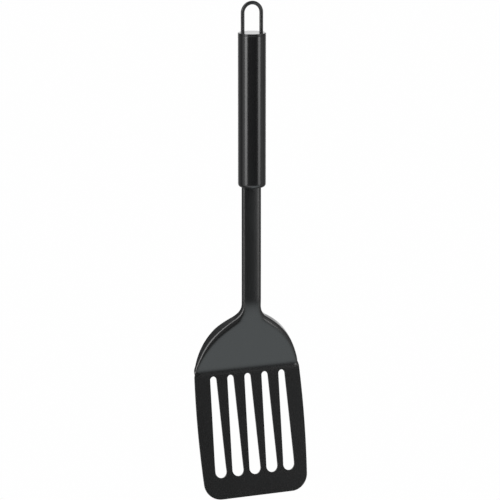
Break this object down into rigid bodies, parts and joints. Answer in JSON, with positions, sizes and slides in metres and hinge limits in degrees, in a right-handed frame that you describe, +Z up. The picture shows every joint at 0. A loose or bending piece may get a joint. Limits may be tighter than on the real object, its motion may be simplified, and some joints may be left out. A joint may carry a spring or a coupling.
{
  "type": "grill spatula",
  "caption": "Slotted sheet-metal turner head on a channel shank, held in a round hollow handle that ends in a wire hanging loop.",
  "frame": {"origin": "lowest point of the hanging loop's inner bend on the handle's axis, where a hook carries the tool", "axes": "+Z up along the handle's axis, towards the loop; +X across the blade; -Y is the food side, so +Y is the back"},
  "size_m": [0.0848, 0.0233, 0.367],
  "materials": {
    "head_coating": "satin",
    "handle_coating": "satin",
    "cap_coating": "satin",
    "loop_coating": "satin",
    "lower_cap_coating": "satin",
    "plug_nylon": "matte"
  },
  "bodies": {
    "root": {"slotted_head": "head_coating", "handle_tube": "handle_coating", "top_cap": "cap_coating", "hanging_loop": "loop_coating", "lower_cap": "lower_cap_coating", "tang_plug": "plug_nylon"}
  },
  "joints": []
}
